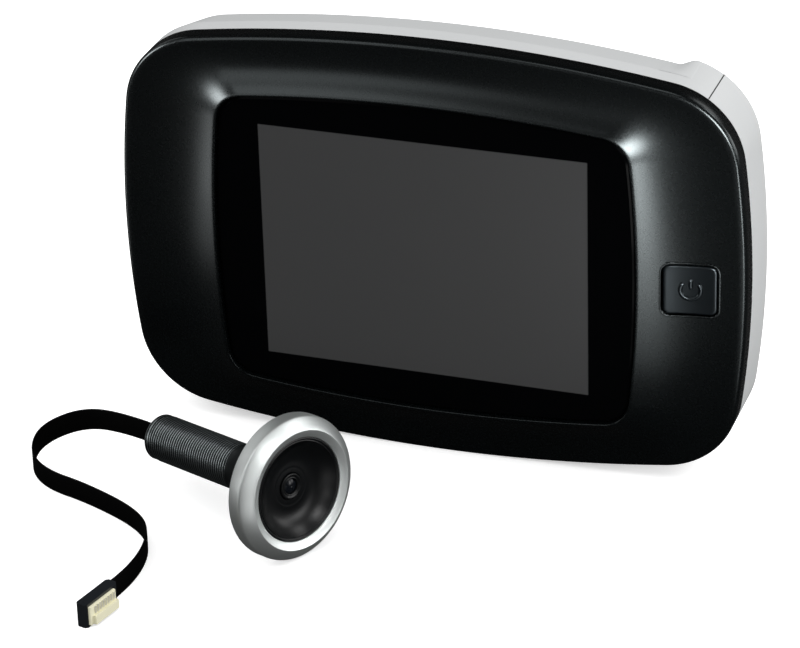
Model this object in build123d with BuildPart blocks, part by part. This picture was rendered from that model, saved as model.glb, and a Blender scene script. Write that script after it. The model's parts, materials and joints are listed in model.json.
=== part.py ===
from build123d import *
import math
import os

# Peephole door camera: an indoor display unit standing on its lower edge, with the
# outdoor camera tube lying in front of it and joined to it by a flat ribbon cable.
# X runs to the right, Y away from the viewer, Z up. The floor is Z = 0.

# Screen and the borders round it, from which the display unit takes its width and height
lcd_width = 76.9
lcd_height = 63.9
window_side_margin = 6.9
window_end_margin = 2.6
frame_side_width = 22.0
frame_end_width = 11.6

# Display unit as a whole
rim_width = lcd_width + 2 * (window_side_margin + frame_side_width)
rim_height = lcd_height + 2 * (window_end_margin + frame_end_width)
rim_long_radius = 343.4
rim_short_radius = 211.9
rim_corner_radius = 17.6
foot_drop = 0.15
display_centre_z = rim_height / 2 - foot_drop
rim_y = 21.58
bezel_depth = 4.6
rim_edge_radius = 1.0

# Raised frame round the window
crest_width = lcd_width + 2 * window_side_margin
crest_height = lcd_height + 2 * window_end_margin
crest_long_radius = 342.8
crest_short_radius = 255.8
crest_corner_radius = 6.4
crest_rise = 3.8
crest_land = 0.35
flare_shares = [0, 0.35, 0.6, 0.8, 1]
flare_power = 2.8
bezel_wall = 2.0

# Window panel, seal and screen
panel_recess = 0.9
panel_thickness = 1.4
panel_gap = 0.35
panel_chamfer = 0.5
ledge_thickness = 0.8
ledge_side_cover = 1.95
ledge_end_cover = 4.2
ledge_opening_width = lcd_width - 2 * ledge_side_cover
ledge_opening_height = lcd_height - 2 * ledge_end_cover
ledge_corner_radius = 1.5
seal_thickness = 0.4
lcd_thickness = 2.9
lcd_frame_border = 2.6
lcd_frame_skin = 0.3
lcd_clearance = 0.1
lcd_corner_radius = 1.2

# Main board
board_gap = 0.4
board_thickness = 1.2
board_overlap = 0.05
board_edge_margin = 2.5
board_end_margin = 4.0
board_height = lcd_height + 2 * board_overlap
board_tongue_margin = 4.7
board_tongue_height = 18.0
board_corner_radius = 2.0
post_radius = 2.4
post_margin = 2.65
post_x = lcd_width / 2 + post_margin + post_radius
post_z = board_height / 2 - board_end_margin
board_width = 2 * (post_x + board_edge_margin)
screw_radius = 0.8
screw_head_radius = 1.6
screw_head_height = 1.0
screw_depth = 3.0
chip_table = [[-31, 14, 12, 12, 1.2], [-31, -14, 10, 8, 1.0], [0, -22, 16, 5, 1.4], [-8, 22, 8, 8, 1.1]]
lcd_flex_width = 22.0
lcd_flex_thickness = 0.2
lcd_flex_reach = 9.0

# Power button
button_margin = 11.55
button_x = rim_width / 2 - button_margin
button_z = -0.4
button_width = 10.8
button_height = 10.9
button_corner_radius = 1.5
button_gap = 0.3
button_skin = 1.0
button_flange = 1.0
button_flange_thickness = 0.6
button_flange_gap = 0.1
plunger_radius = 1.5
plunger_length = 0.6
switch_size = 5.0
switch_height = 0.8
switch_bore_gap = 0.1
switch_floor = 0.1
board_tongue_end = button_x + board_tongue_margin

# Rear housing
ridge_depth = 8.6
housing_wall = 1.8
cell_radius = 5.25
cell_front_gap = 0.15
cell_back_gap = 0.45
bay_wall = 1.0
bay_front_depth = 4.5
cell_depth = bay_front_depth + bay_wall + cell_front_gap + cell_radius
housing_depth = cell_depth + cell_radius + cell_back_gap + housing_wall
back_inset = 2.1
back_edge_radius = 1.8
cover_width = 9.6
seam_to_straight = 4.75
cover_seam_x = rim_width / 2 - cover_width
straight_end_x = cover_seam_x - seam_to_straight
cover_gap = 0.15
tongue_inset = 2.1
tongue_wall = 1.0
tongue_length = 1.5

# Housing screws
housing_post_radius = 3.2
left_screw_margin = 13.35
left_screw_end_margin = 15.15
right_screw_margin = 17.35
right_screw_end_margin = 13.15
left_screw_x = left_screw_margin - rim_width / 2
left_screw_z = rim_height / 2 - left_screw_end_margin
right_screw_x = rim_width / 2 - right_screw_margin
right_screw_z = rim_height / 2 - right_screw_end_margin
housing_screw_points = [
    (left_screw_x, left_screw_z), (left_screw_x, -left_screw_z), (right_screw_x, right_screw_z),
    (right_screw_x, -right_screw_z),
]
counterbore_radius = 2.1
counterbore_floor = 9.0
housing_screw_radius = 1.0
housing_screw_head_radius = 1.9
housing_screw_head_height = 1.3
housing_screw_hold = 3.4

# Bracket slots and camera plug well in the back wall
slot_x = 36.0
slot_z = 25.0
slot_length = 7.0
slot_width = 2.6
well_x = -20.0
well_width = 18.0
well_height = 14.0
well_wall = 1.4
well_floor_depth = 8.2
socket_width = 11.6
socket_height = 6.2
socket_depth = 4.6
socket_gap = 0.3
socket_mouth_depth = 3.6
socket_pin_length = 2.4
socket_row_pitch = 2.2
socket_row_count = 2
socket_mouth_width = 9.0
socket_mouth_height = 4.4

# Battery bay, three AAA cells lying side by side
cell_length = 44.5
cell_cap_radius = 1.9
cell_cap_length = 1.0
cell_pitch = 11.0
cell_to_seam = 0.35
bay_end_gap = 2.3
cell_start_x = cover_seam_x - cell_to_seam - cell_length
bay_start_x = cell_start_x - bay_end_gap
bay_end_margin = 0.95
bay_half_height = cell_pitch + cell_radius + bay_end_margin
contact_thickness = 0.4
contact_height = 8.0
contact_width = 8.6
contact_gap = 0.1
leaf_radius = 2.6
leaf_taper = 35.0
door_rail_length = 6.0
door_rail_thickness = 1.2
door_rail_gap = 0.3
door_rail_z = 24.0
door_rail_width = 8.0

# Camera tube: axis and the centre of its dark front circle
tube_x = -10.94
tube_y = -27.49
tube_z = 15.45
tube_axis_x = 0.88229
tube_axis_y = -0.45925
tube_axis_z = 0.10325

# Camera tube, radii and distances behind the dark front circle
dish_radius = 10.85
lip_radius = 12.5
lip_rise = 0.25
lip_drop = 0.45
flange_radius = 15.0
bevel_back = 1.85
flange_back = 5.0
flange_round = 0.4
dish_floor_radius = 4.3
dish_floor = 3.2
dish_sag = 1.0
dish_thickness = 0.9
neck_radius = 6.1
neck_length = 3.6
neck_sag = 0.35
barrel_radius = 4.88
barrel_bore = 3.6
barrel_back = 44.1
barrel_chamfer = 1.0
lens_ring_radius = 2.7
lens_ring_bore = 1.6
lens_ring_rise = 0.35
lens_radius = 1.5
lens_dome = 0.4
lens_front = 3.3
holder_radius = 3.5
holder_length = 6.0
holder_skirt = 0.4
sensor_board_radius = 3.4
sensor_board_thickness = 0.8
sensor_size = 4.0
sensor_thickness = 0.7
seat_gap = 0.1
bush_length = 3.0
bush_slot_gap = 0.1

# Ribbon cable, standing on edge, from the tube's tail to the plug
ribbon_width = 4.8
ribbon_thickness = 0.4
ribbon_lead = 10.5
ribbon_points = [
    (-70.1, 0.5, 8.2), (-78.3, -3.8, 5.2), (-78.2, -10.9, 3.1), (-72.2, -17.1, 2.6),
    (-60.7, -20.4, 2.6), (-46.5, -27.4, 2.6), (-41.1, -35.3, 2.6), (-39.9, -47.4, 2.6),
    (-41.6, -54.4, 2.6),
]
corner_share = 0.45

# Plug on the ribbon's free end
plug_length = 10.5
plug_height = 5.2
plug_thickness = 2.6
plug_shift = 0.5
plug_edge_chamfer = 0.5
insert_length = 8.2
insert_height = 4.0
insert_thickness = 0.6
insert_start = 1.6
insert_step_length = 7.4
insert_step_height = 1.9
insert_step_thickness = 0.7
pin_count = 8
pin_pitch = 0.85
pin_width = 0.4
pin_height = 1.7
pin_thickness = 0.2

# Length by which a cutting shape runs past the surface it opens
overrun = 1.0

os.makedirs("parts", exist_ok=True)


# Plane of the narrow foot on which the display unit stands
floor_plane = Plane.XY


def face_plane(depth):
    """Upright plane facing the viewer, a given depth behind the front of the rim."""
    return Plane(origin=(0, rim_y + depth, display_centre_z), x_dir=(1, 0, 0), z_dir=(0, -1, 0))


def corner_centre(x_side, z_side, x_reach, z_reach, long_radius, short_radius, corner_radius):
    """Centre of the small arc that joins a bowed long edge to a bowed short edge."""
    long_z = z_side * (z_reach - long_radius)
    short_x = x_side * (x_reach - short_radius)
    span = math.hypot(short_x, long_z)
    long_reach = long_radius - corner_radius
    short_reach = short_radius - corner_radius
    along = (long_reach**2 - short_reach**2 + span**2) / (2 * span)
    away = math.sqrt(long_reach**2 - along**2)
    unit_x = short_x / span
    unit_z = -long_z / span
    turn = x_side * z_side
    return (
        along * unit_x + turn * away * unit_z,
        long_z + along * unit_z - turn * away * unit_x,
    )


def bowed_outline(
    left, right, bottom, top, long_radius, short_radius, corner_radius, mode=Mode.ADD
):
    """Closed sketch of four bowed edges and four corner arcs round the centre."""
    edges = [[1, 1, right, top], [1, -1, right, bottom], [-1, -1, left, bottom], [-1, 1, left, top]]
    starts = []
    for x_side, z_side, x_reach, z_reach in edges:
        centre_x, centre_z = corner_centre(
            x_side, z_side, x_reach, z_reach, long_radius, short_radius, corner_radius
        )
        long_z = z_side * (z_reach - long_radius)
        short_x = x_side * (x_reach - short_radius)
        long_turn = math.atan2(centre_z - long_z, centre_x)
        short_turn = math.atan2(centre_z, centre_x - short_x)
        on_long = (long_radius * math.cos(long_turn), long_z + long_radius * math.sin(long_turn))
        on_short = (short_x + short_radius * math.cos(short_turn), short_radius * math.sin(short_turn))
        middle = math.atan2(
            math.sin(long_turn) + math.sin(short_turn), math.cos(long_turn) + math.cos(short_turn)
        )
        on_corner = (
            centre_x + corner_radius * math.cos(middle),
            centre_z + corner_radius * math.sin(middle),
        )
        starts.append([on_long, on_corner, on_short])
    with BuildLine() as border:
        ThreePointArc(*starts[0])
        ThreePointArc(starts[0][2], (right, 0), starts[1][2])
        ThreePointArc(*starts[1])
        ThreePointArc(starts[1][0], (0, -bottom), starts[2][0])
        ThreePointArc(*starts[2])
        ThreePointArc(starts[2][2], (-left, 0), starts[3][2])
        ThreePointArc(*starts[3])
        ThreePointArc(starts[3][0], (0, top), starts[0][0])
    make_face(border.edges(), mode=mode)


def rim_outline(inset, top_inset=0, left_inset=0, mode=Mode.ADD):
    """Outline of the display unit, moved inward by an inset."""
    half_width = rim_width / 2 - inset
    half_height = rim_height / 2 - inset
    bowed_outline(
        half_width - left_inset, half_width, half_height, half_height - top_inset,
        rim_long_radius - inset, rim_short_radius - inset, rim_corner_radius - inset, mode,
    )


def flare_outline(share, rim_margin, crest_margin):
    """Outline on the flared frame: share 0 is the flat rim, share 1 the crest."""
    width = rim_width / 2 - rim_margin
    height = rim_height / 2 - rim_margin
    reach_x = width + (crest_width / 2 + crest_margin - width) * share
    reach_z = height + (crest_height / 2 + crest_margin - height) * share
    bowed_outline(
        reach_x, reach_x, reach_z, reach_z,
        rim_long_radius + (crest_long_radius - rim_long_radius) * share,
        rim_short_radius + (crest_short_radius - rim_short_radius) * share,
        rim_corner_radius - rim_margin
        + (crest_corner_radius + crest_margin - rim_corner_radius + rim_margin) * share,
    )


def window_outline(inset):
    """Outline of the window aperture, moved inward by an inset."""
    half_width = crest_width / 2 - inset
    half_height = crest_height / 2 - inset
    bowed_outline(
        half_width, half_width, half_height, half_height,
        crest_long_radius - inset, crest_short_radius - inset, crest_corner_radius - inset,
    )


def four_points(reach_x, reach_z):
    """The four mirrored points at a reach from the centre."""
    return [(reach_x, reach_z), (-reach_x, reach_z), (-reach_x, -reach_z), (reach_x, -reach_z)]


# Depths of the layers behind the window, measured from the front of the rim
panel_front = panel_recess - crest_rise
panel_back = panel_front + panel_thickness
ledge_back = panel_back + ledge_thickness
lcd_front = ledge_back + seal_thickness
lcd_back = lcd_front + lcd_thickness
board_front = lcd_back + board_gap
board_back = board_front + board_thickness

# Hollow behind the flare, which leaves the bezel a moulding of even wall
with BuildPart() as flare_hollow:
    for share in flare_shares:
        with BuildSketch(face_plane(bezel_wall - crest_rise * share**flare_power)):
            flare_outline(share, bezel_wall + rim_edge_radius, bezel_wall)
    loft()
    with BuildSketch(face_plane(-crest_rise - overrun)):
        window_outline(-bezel_wall)
    extrude(amount=-(crest_rise + bezel_depth + overrun), mode=Mode.SUBTRACT)

# Front bezel
with BuildPart() as front_bezel:
    with BuildSketch(face_plane(0)):
        rim_outline(0)
    extrude(amount=-bezel_depth)
    for share in flare_shares:
        with BuildSketch(face_plane(-crest_rise * share**flare_power)):
            flare_outline(share, 0, crest_land)
    loft()
    rim_edges = front_bezel.edges().filter_by_position(Axis.Y, rim_y, rim_y)
    fillet(rim_edges, radius=rim_edge_radius)
    with BuildSketch(face_plane(bezel_depth)):
        rim_outline(bezel_wall)
    extrude(amount=bezel_depth - bezel_wall, mode=Mode.SUBTRACT)
    add(flare_hollow.part, mode=Mode.SUBTRACT)
    with BuildSketch(face_plane(-crest_rise - overrun)):
        window_outline(0)
    extrude(amount=-(crest_rise + overrun + panel_back), mode=Mode.SUBTRACT)
    with BuildSketch(face_plane(panel_back - overrun)):
        RectangleRounded(ledge_opening_width, ledge_opening_height, ledge_corner_radius)
    extrude(amount=-(ledge_thickness + overrun + overrun), mode=Mode.SUBTRACT)
    with BuildSketch(face_plane(bezel_wall)):
        window_outline(0)
    extrude(amount=bezel_wall - ledge_back, mode=Mode.SUBTRACT)
    with BuildSketch(face_plane(ledge_back)):
        with Locations(*four_points(post_x, post_z)):
            Circle(post_radius)
    extrude(amount=ledge_back - board_front)
    with BuildSketch(face_plane(board_front)):
        with Locations(*four_points(post_x, post_z)):
            Circle(screw_radius)
    extrude(amount=screw_depth, mode=Mode.SUBTRACT)
    with BuildSketch(face_plane(bezel_wall / 2)):
        with Locations(*housing_screw_points):
            Circle(housing_post_radius)
    extrude(amount=bezel_wall / 2 - bezel_depth)
    with BuildSketch(face_plane(bezel_depth)):
        with Locations(*housing_screw_points):
            Circle(housing_screw_radius)
    extrude(amount=housing_screw_hold, mode=Mode.SUBTRACT)
    with BuildSketch(face_plane(-crest_rise - overrun)):
        with Locations((button_x, button_z)):
            RectangleRounded(
                button_width + button_gap + button_gap,
                button_height + button_gap + button_gap,
                button_corner_radius + button_gap,
            )
    extrude(amount=-(crest_rise + bezel_depth + overrun), mode=Mode.SUBTRACT)
    with BuildSketch(face_plane(button_skin)):
        with Locations((button_x, button_z)):
            RectangleRounded(
                button_width + 2 * (button_flange + button_gap),
                button_height + 2 * (button_flange + button_gap),
                button_corner_radius,
            )
    extrude(amount=-bezel_wall, mode=Mode.SUBTRACT)
    with BuildSketch(floor_plane):
        Rectangle(rim_width, rim_height)
    extrude(amount=-overrun, mode=Mode.SUBTRACT)
front_bezel.part.label = "front_bezel"
export_step(front_bezel.part, "parts/front_bezel.step")

# Power button, its face following the flare of the bezel
with BuildPart() as power_button:
    with BuildSketch(face_plane(0)):
        rim_outline(0)
    extrude(amount=-button_skin - button_flange_gap)
    for share in flare_shares:
        with BuildSketch(face_plane(-crest_rise * share**flare_power)):
            flare_outline(share, 0, crest_land)
    loft()
    with BuildSketch(face_plane(-crest_rise - overrun)):
        with Locations((button_x, button_z)):
            RectangleRounded(button_width, button_height, button_corner_radius)
    extrude(amount=-(crest_rise + bezel_depth), mode=Mode.INTERSECT)
    with BuildSketch(face_plane(button_skin + button_flange_gap)):
        with Locations((button_x, button_z)):
            RectangleRounded(
                button_width + 2 * button_flange, button_height + 2 * button_flange,
                button_corner_radius,
            )
    extrude(amount=-button_flange_thickness)
power_button.part.label = "power_button"
export_step(power_button.part, "parts/power_button.step")

# Window panel
with BuildPart() as display_window:
    with BuildSketch(face_plane(panel_front)):
        window_outline(panel_gap)
    extrude(amount=-panel_thickness)
    chamfer(display_window.edges().group_by(Axis.Y)[0], length=panel_chamfer)
display_window.part.label = "display_window"
export_step(display_window.part, "parts/display_window.step")

# Foam seal between the ledge and the screen
with BuildPart() as foam_gasket:
    with BuildSketch(face_plane(ledge_back)):
        RectangleRounded(lcd_width, lcd_height, lcd_corner_radius)
        RectangleRounded(
            ledge_opening_width, ledge_opening_height, ledge_corner_radius, mode=Mode.SUBTRACT
        )
    extrude(amount=-seal_thickness)
foam_gasket.part.label = "foam_gasket"
export_step(foam_gasket.part, "parts/foam_gasket.step")

# Screen, its glass panel and the pressed frame that holds it
with BuildPart() as lcd_panel:
    with BuildSketch(face_plane(lcd_front + lcd_frame_skin)):
        inner_trim = lcd_frame_skin + lcd_clearance
        RectangleRounded(
            lcd_width - inner_trim - inner_trim, lcd_height - inner_trim - inner_trim,
            lcd_corner_radius - inner_trim,
        )
    extrude(amount=lcd_frame_skin - lcd_thickness)
lcd_panel.part.label = "lcd_panel"
export_step(lcd_panel.part, "parts/lcd_panel.step")

with BuildPart() as lcd_frame:
    with BuildSketch(face_plane(lcd_front)):
        RectangleRounded(lcd_width, lcd_height, lcd_corner_radius)
        RectangleRounded(
            lcd_width - lcd_frame_border - lcd_frame_border,
            lcd_height - lcd_frame_border - lcd_frame_border,
            lcd_corner_radius, mode=Mode.SUBTRACT,
        )
    extrude(amount=-lcd_frame_skin)
    with BuildSketch(face_plane(lcd_front)):
        RectangleRounded(lcd_width, lcd_height, lcd_corner_radius)
        RectangleRounded(
            lcd_width - lcd_frame_skin - lcd_frame_skin,
            lcd_height - lcd_frame_skin - lcd_frame_skin,
            lcd_corner_radius - lcd_frame_skin, mode=Mode.SUBTRACT,
        )
    extrude(amount=-lcd_thickness)
lcd_frame.part.label = "lcd_frame"
export_step(lcd_frame.part, "parts/lcd_frame.step")

# Flat flex that runs from the screen round the lower edge of the board
with BuildPart() as lcd_flex:
    with BuildSketch(face_plane(lcd_back)):
        with Locations((0, -board_height / 2 - lcd_flex_thickness)):
            Rectangle(lcd_flex_width, lcd_flex_reach)
    extrude(amount=-lcd_flex_thickness)
    with BuildSketch(face_plane(lcd_back)):
        with Locations((0, -(board_height + lcd_flex_reach) / 2)):
            Rectangle(lcd_flex_width, lcd_flex_thickness)
    extrude(amount=lcd_back - board_back - lcd_flex_thickness)
    with BuildSketch(face_plane(board_back)):
        with Locations((0, -board_height / 2 - lcd_flex_thickness)):
            Rectangle(lcd_flex_width, lcd_flex_reach)
    extrude(amount=-lcd_flex_thickness)
lcd_flex.part.label = "lcd_flex"
export_step(lcd_flex.part, "parts/lcd_flex.step")

# Main board with a tongue that carries the switch behind the button
with BuildPart() as main_board:
    with BuildSketch(face_plane(board_front)):
        RectangleRounded(board_width, board_height, board_corner_radius)
        with Locations(((board_width / 2 + board_tongue_end) / 2 - board_corner_radius, 0)):
            RectangleRounded(
                board_tongue_end - board_width / 2 + board_corner_radius + board_corner_radius,
                board_tongue_height, board_corner_radius,
            )
        with Locations(*four_points(post_x, post_z)):
            Circle(screw_radius, mode=Mode.SUBTRACT)
    extrude(amount=-board_thickness)
main_board.part.label = "main_board"
export_step(main_board.part, "parts/main_board.step")

with BuildPart() as board_chips:
    for chip_x, chip_z, chip_width, chip_height, chip_thickness in chip_table:
        with BuildSketch(face_plane(board_back)):
            with Locations((chip_x, chip_z)):
                Rectangle(chip_width, chip_height)
        extrude(amount=-chip_thickness)
board_chips.part.label = "board_chips"
export_step(board_chips.part, "parts/board_chips.step")

with BuildPart() as board_screws:
    with BuildSketch(face_plane(board_back)):
        with Locations(*four_points(post_x, post_z)):
            Circle(screw_head_radius)
    extrude(amount=-screw_head_height)
    with BuildSketch(face_plane(board_back)):
        with Locations(*four_points(post_x, post_z)):
            Circle(screw_radius)
    extrude(amount=board_thickness + screw_depth)
board_screws.part.label = "board_screws"
export_step(board_screws.part, "parts/board_screws.step")

# Push switch on the front of the board, and the plunger between it and the button
button_back = button_skin + button_flange_gap + button_flange_thickness
with BuildPart() as switch_body:
    with BuildSketch(face_plane(board_front)):
        with Locations((button_x, button_z)):
            Rectangle(switch_size, switch_size)
    extrude(amount=switch_height)
    with BuildSketch(face_plane(board_front - switch_floor)):
        with Locations((button_x, button_z)):
            Circle(plunger_radius + switch_bore_gap)
    extrude(amount=switch_height, mode=Mode.SUBTRACT)
switch_body.part.label = "switch_body"
export_step(switch_body.part, "parts/switch_body.step")

with BuildPart() as switch_plunger:
    with BuildSketch(face_plane(button_back)):
        with Locations((button_x, button_z)):
            Circle(plunger_radius)
    extrude(amount=-plunger_length)
switch_plunger.part.label = "switch_plunger"
export_step(switch_plunger.part, "parts/switch_plunger.step")

# Outer and inner shape shared by the rear housing and the battery cover: drawn in towards the
# back above and on the left, and straight at the right-hand end
housing_solids = []
straight_end_plane = Plane(origin=(straight_end_x, 0, 0), z_dir=(1, 0, 0))
for skin in (0, housing_wall):
    with BuildPart() as tapered_part:
        with BuildSketch(face_plane(bezel_depth)):
            rim_outline(skin)
        extrude(amount=bezel_depth - ridge_depth)
        with BuildSketch(face_plane(ridge_depth)):
            rim_outline(skin)
        with BuildSketch(face_plane(housing_depth - skin)):
            rim_outline(skin, back_inset, back_inset)
        loft()
        fillet(tapered_part.edges().group_by(Axis.Y)[-1], radius=back_edge_radius)
        split(bisect_by=straight_end_plane, keep=Keep.BOTTOM)
    with BuildPart() as straight_part:
        with BuildSketch(face_plane(bezel_depth)):
            rim_outline(skin)
        extrude(amount=bezel_depth + skin - housing_depth)
        fillet(straight_part.edges().group_by(Axis.Y)[-1], radius=back_edge_radius)
        split(bisect_by=straight_end_plane, keep=Keep.TOP)
    with BuildPart() as housing_solid:
        add(tapered_part.part)
        add(straight_part.part)
    housing_solids.append(housing_solid.part)

# Rear housing
bay_back = housing_depth - housing_wall
with BuildPart() as rear_housing:
    add(housing_solids[0])
    add(housing_solids[1], mode=Mode.SUBTRACT)
    with BuildSketch(face_plane(bezel_depth - tongue_length)):
        rim_outline(tongue_inset)
        rim_outline(tongue_inset + tongue_wall, mode=Mode.SUBTRACT)
    extrude(amount=-tongue_length)
    with BuildSketch(face_plane(bezel_depth)):
        rim_outline(tongue_inset - tongue_wall)
        rim_outline(tongue_inset + tongue_wall, mode=Mode.SUBTRACT)
    extrude(amount=-tongue_wall)
    with BuildSketch(face_plane(bezel_depth)):
        with Locations(*housing_screw_points):
            Circle(housing_post_radius)
    extrude(amount=bezel_depth - bay_back)
    with BuildSketch(face_plane(bezel_depth)):
        with Locations((cover_seam_x - bay_wall, 0)):
            Rectangle(
                bay_wall, 2 * (bay_half_height + bay_wall + bay_wall),
                align=(Align.MIN, Align.CENTER),
            )
    extrude(amount=bezel_depth - bay_back)
    with BuildSketch(face_plane(bay_front_depth + bay_wall)):
        with Locations((cover_seam_x - bay_wall - overrun, 0)):
            Rectangle(
                bay_wall + 2 * overrun, 2 * bay_half_height, align=(Align.MIN, Align.CENTER)
            )
    extrude(amount=bay_front_depth + bay_wall - bay_back, mode=Mode.SUBTRACT)
    with BuildSketch(face_plane(housing_depth + overrun)):
        with Locations(*housing_screw_points):
            Circle(counterbore_radius)
    extrude(amount=housing_depth + overrun - counterbore_floor, mode=Mode.SUBTRACT)
    with BuildSketch(face_plane(housing_depth)):
        with Locations(*housing_screw_points):
            Circle(housing_screw_radius)
    extrude(amount=housing_depth, mode=Mode.SUBTRACT)
    with BuildSketch(face_plane(housing_depth + overrun)):
        with Locations(*four_points(slot_x, slot_z)):
            SlotOverall(slot_length, slot_width)
    extrude(amount=housing_wall + 2 * overrun, mode=Mode.SUBTRACT)
    with BuildSketch(face_plane(well_floor_depth)):
        with Locations((well_x, 0)):
            Rectangle(well_width + 2 * well_wall, well_height + 2 * well_wall)
    extrude(amount=well_floor_depth - bay_back)
    with BuildSketch(face_plane(well_floor_depth + well_wall)):
        with Locations((well_x, 0)):
            Rectangle(well_width, well_height)
    extrude(amount=well_floor_depth - housing_depth, mode=Mode.SUBTRACT)
    with BuildSketch(face_plane(well_floor_depth - overrun)):
        with Locations((well_x, 0)):
            Rectangle(socket_width + 2 * socket_gap, socket_height + 2 * socket_gap)
    extrude(amount=-well_wall - 2 * overrun, mode=Mode.SUBTRACT)
    with BuildSketch(face_plane(0)):
        with Locations((cover_seam_x, 0)):
            Rectangle(
                rim_width, rim_height + 2 * overrun, align=(Align.MIN, Align.CENTER)
            )
    extrude(amount=-housing_depth - overrun, mode=Mode.SUBTRACT)
    with BuildSketch(floor_plane):
        Rectangle(rim_width, rim_height)
    extrude(amount=-overrun, mode=Mode.SUBTRACT)
rear_housing.part.label = "rear_housing"
export_step(rear_housing.part, "parts/rear_housing.step")

# Battery cover, the right-hand end of the housing, with two guide rails
cover_start_x = cover_seam_x + cover_gap
with BuildPart() as battery_cover:
    add(housing_solids[0])
    add(housing_solids[1], mode=Mode.SUBTRACT)
    with BuildSketch(face_plane(bezel_depth)):
        with Locations((cover_start_x, 0)):
            Rectangle(
                bay_wall, 2 * (bay_half_height + bay_wall), align=(Align.MIN, Align.CENTER)
            )
    extrude(amount=bezel_depth - bay_back)
    with BuildSketch(face_plane(0)):
        with Locations((cover_start_x, 0)):
            Rectangle(
                2 * rim_width, rim_height + 2 * overrun, align=(Align.MAX, Align.CENTER)
            )
    extrude(amount=-housing_depth - overrun, mode=Mode.SUBTRACT)
    with BuildSketch(face_plane(bay_back - door_rail_gap)):
        with Locations((cover_start_x, door_rail_z), (cover_start_x, -door_rail_z)):
            Rectangle(2 * door_rail_length, door_rail_width)
    extrude(amount=door_rail_thickness)
    with BuildSketch(face_plane(bay_back)):
        with Locations((cover_start_x, door_rail_z), (cover_start_x, -door_rail_z)):
            Rectangle(door_rail_length, door_rail_width, align=(Align.MIN, Align.CENTER))
    extrude(amount=door_rail_gap)
battery_cover.part.label = "battery_cover"
export_step(battery_cover.part, "parts/battery_cover.step")

# Screws that hold the rear housing to the bezel
with BuildPart() as housing_screws:
    with BuildSketch(face_plane(counterbore_floor)):
        with Locations(*housing_screw_points):
            Circle(housing_screw_head_radius)
    extrude(amount=-housing_screw_head_height)
    with BuildSketch(face_plane(counterbore_floor)):
        with Locations(*housing_screw_points):
            Circle(housing_screw_radius)
    extrude(amount=counterbore_floor - bezel_depth + housing_screw_hold)
housing_screws.part.label = "housing_screws"
export_step(housing_screws.part, "parts/housing_screws.step")

# Socket for the camera plug, at the foot of the well
with BuildPart() as camera_socket:
    with BuildSketch(face_plane(board_back)):
        with Locations((well_x, 0)):
            Rectangle(socket_width, socket_height)
    extrude(amount=-socket_depth)
    with BuildSketch(face_plane(board_back + socket_depth)):
        with Locations((well_x, 0)):
            Rectangle(socket_mouth_width, socket_mouth_height)
    extrude(amount=socket_mouth_depth, mode=Mode.SUBTRACT)
camera_socket.part.label = "camera_socket"
export_step(camera_socket.part, "parts/camera_socket.step")

with BuildPart() as socket_pins:
    with BuildSketch(face_plane(board_back + socket_depth - socket_mouth_depth)):
        with Locations((well_x, 0)):
            with GridLocations(pin_pitch, socket_row_pitch, pin_count, socket_row_count):
                Rectangle(pin_width, pin_width)
    extrude(amount=-socket_pin_length)
socket_pins.part.label = "socket_pins"
export_step(socket_pins.part, "parts/socket_pins.step")

# Battery bay tray, closed towards the board, open towards the battery cover
bay_end_x = cover_seam_x - bay_wall
with BuildPart() as battery_tray:
    with BuildSketch(face_plane(bay_front_depth)):
        with Locations((bay_start_x - bay_wall, 0)):
            Rectangle(
                bay_end_x - bay_start_x + bay_wall, 2 * (bay_half_height + bay_wall),
                align=(Align.MIN, Align.CENTER),
            )
    extrude(amount=bay_front_depth - bay_back)
    with BuildSketch(face_plane(bay_front_depth + bay_wall)):
        with Locations((bay_start_x, 0)):
            Rectangle(rim_width, 2 * bay_half_height, align=(Align.MIN, Align.CENTER))
    extrude(amount=bay_front_depth - bay_back, mode=Mode.SUBTRACT)
battery_tray.part.label = "battery_tray"
export_step(battery_tray.part, "parts/battery_tray.step")

# AAA cells, alternate cells turned end for end
cell_plane = Plane(
    origin=(cell_start_x, rim_y + cell_depth, display_centre_z), x_dir=(0, 0, 1), z_dir=(1, 0, 0)
)
cell_rows = [(-cell_pitch, 0), (0, 0), (cell_pitch, 0)]
with BuildPart() as batteries:
    for row, turned in zip(cell_rows, (0, 1, 0)):
        with BuildSketch(cell_plane.offset(cell_cap_length * turned)):
            with Locations(row):
                Circle(cell_radius)
        extrude(amount=cell_length - cell_cap_length)
        with BuildSketch(cell_plane.offset(0 if turned else cell_length - cell_cap_length)):
            with Locations(row):
                Circle(cell_cap_radius)
        extrude(amount=cell_cap_length)
batteries.part.label = "batteries"
export_step(batteries.part, "parts/batteries.step")

# Contacts at the inner end of the bay, each with a raised tip
with BuildPart() as bay_contacts:
    with BuildSketch(cell_plane.offset(bay_start_x - cell_start_x)):
        with Locations(*cell_rows):
            Rectangle(contact_height, contact_width)
    extrude(amount=contact_thickness)
    with BuildSketch(cell_plane.offset(bay_start_x - cell_start_x + contact_thickness)):
        with Locations(*cell_rows):
            Circle(leaf_radius)
    extrude(
        amount=cell_start_x - bay_start_x - contact_thickness - contact_gap, taper=leaf_taper
    )
bay_contacts.part.label = "bay_contacts"
export_step(bay_contacts.part, "parts/bay_contacts.step")

# Contact strip inside the battery cover, one long plate and one short one
with BuildPart() as cover_contacts:
    with BuildSketch(cell_plane.offset(cover_start_x - cell_start_x)):
        with Locations((cell_pitch / 2, 0)):
            Rectangle(contact_height + cell_pitch, contact_width)
        with Locations((-cell_pitch, 0)):
            Rectangle(contact_height, contact_width)
    extrude(amount=cell_start_x + cell_length + contact_gap - cover_start_x)
cover_contacts.part.label = "cover_contacts"
export_step(cover_contacts.part, "parts/cover_contacts.step")

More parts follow.
